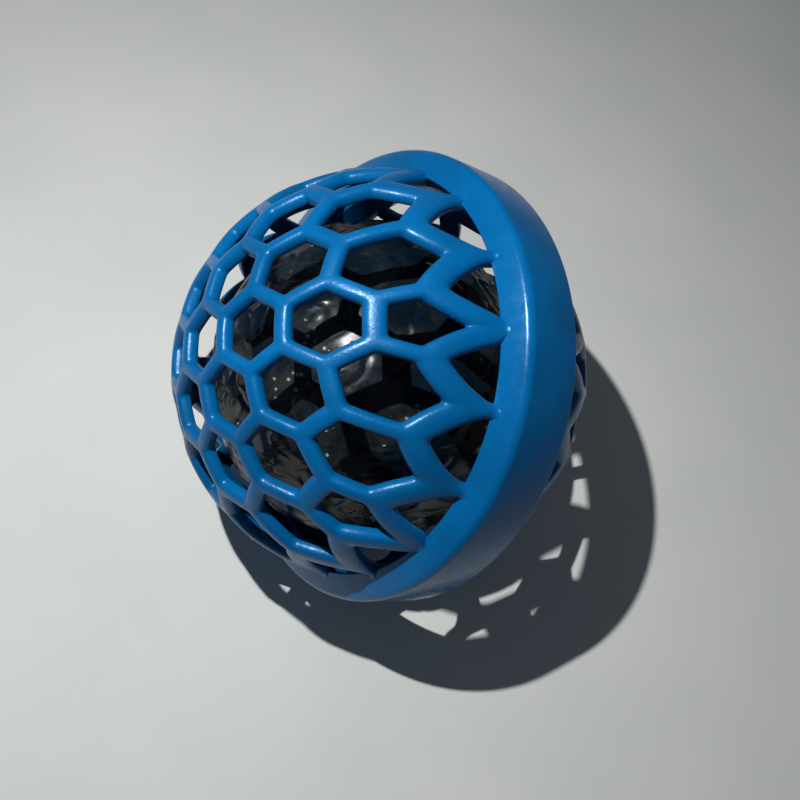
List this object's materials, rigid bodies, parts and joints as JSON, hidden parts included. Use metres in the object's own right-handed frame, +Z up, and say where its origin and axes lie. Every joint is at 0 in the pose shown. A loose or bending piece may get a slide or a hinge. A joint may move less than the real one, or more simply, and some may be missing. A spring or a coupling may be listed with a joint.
{
  "type": "backpack washing ball",
  "caption": "Openwork plastic ball in halves with a honeycomb of windows, screwed together round a loose sticky gel ball that picks up dust and crumbs in a bag or a wash load.",
  "frame": {"origin": "on the table below the centre of the closed ball, which lies on a window of its back dome", "axes": "+Z up, +Y along the middle of the band, -X towards the side on which the front half's pole is, 33.0 degrees up from the table"},
  "size_m": [0.0552, 0.06, 0.0545],
  "materials": {
    "blue_plastic": "moulded polypropylene, smooth and lightly glossy",
    "black_gel": "soft tacky gel, glossy and dimpled"
  },
  "bodies": {
    "back_half": {"back_cage": "blue_plastic"},
    "loose_ball": {"sticky_ball": "black_gel"},
    "front_half": {"front_cage": "blue_plastic"}
  },
  "joints": [
    {"name": "front_lift", "type": "slide", "parent": "back_half", "child": "loose_ball", "axis": [-0.8391, 0, 0.5439], "range_m": [0, 0.0262]},
    {"name": "front_twist", "type": "hinge", "parent": "loose_ball", "child": "front_half", "pos_m": [0, 0, 0.02719], "axis": [-0.8391, 0, 0.5439], "range_deg": [0, 900]}
  ],
  "couplings": [
    {"joint": "front_twist", "follows": "front_lift", "rad_per_m": 598.4}
  ]
}
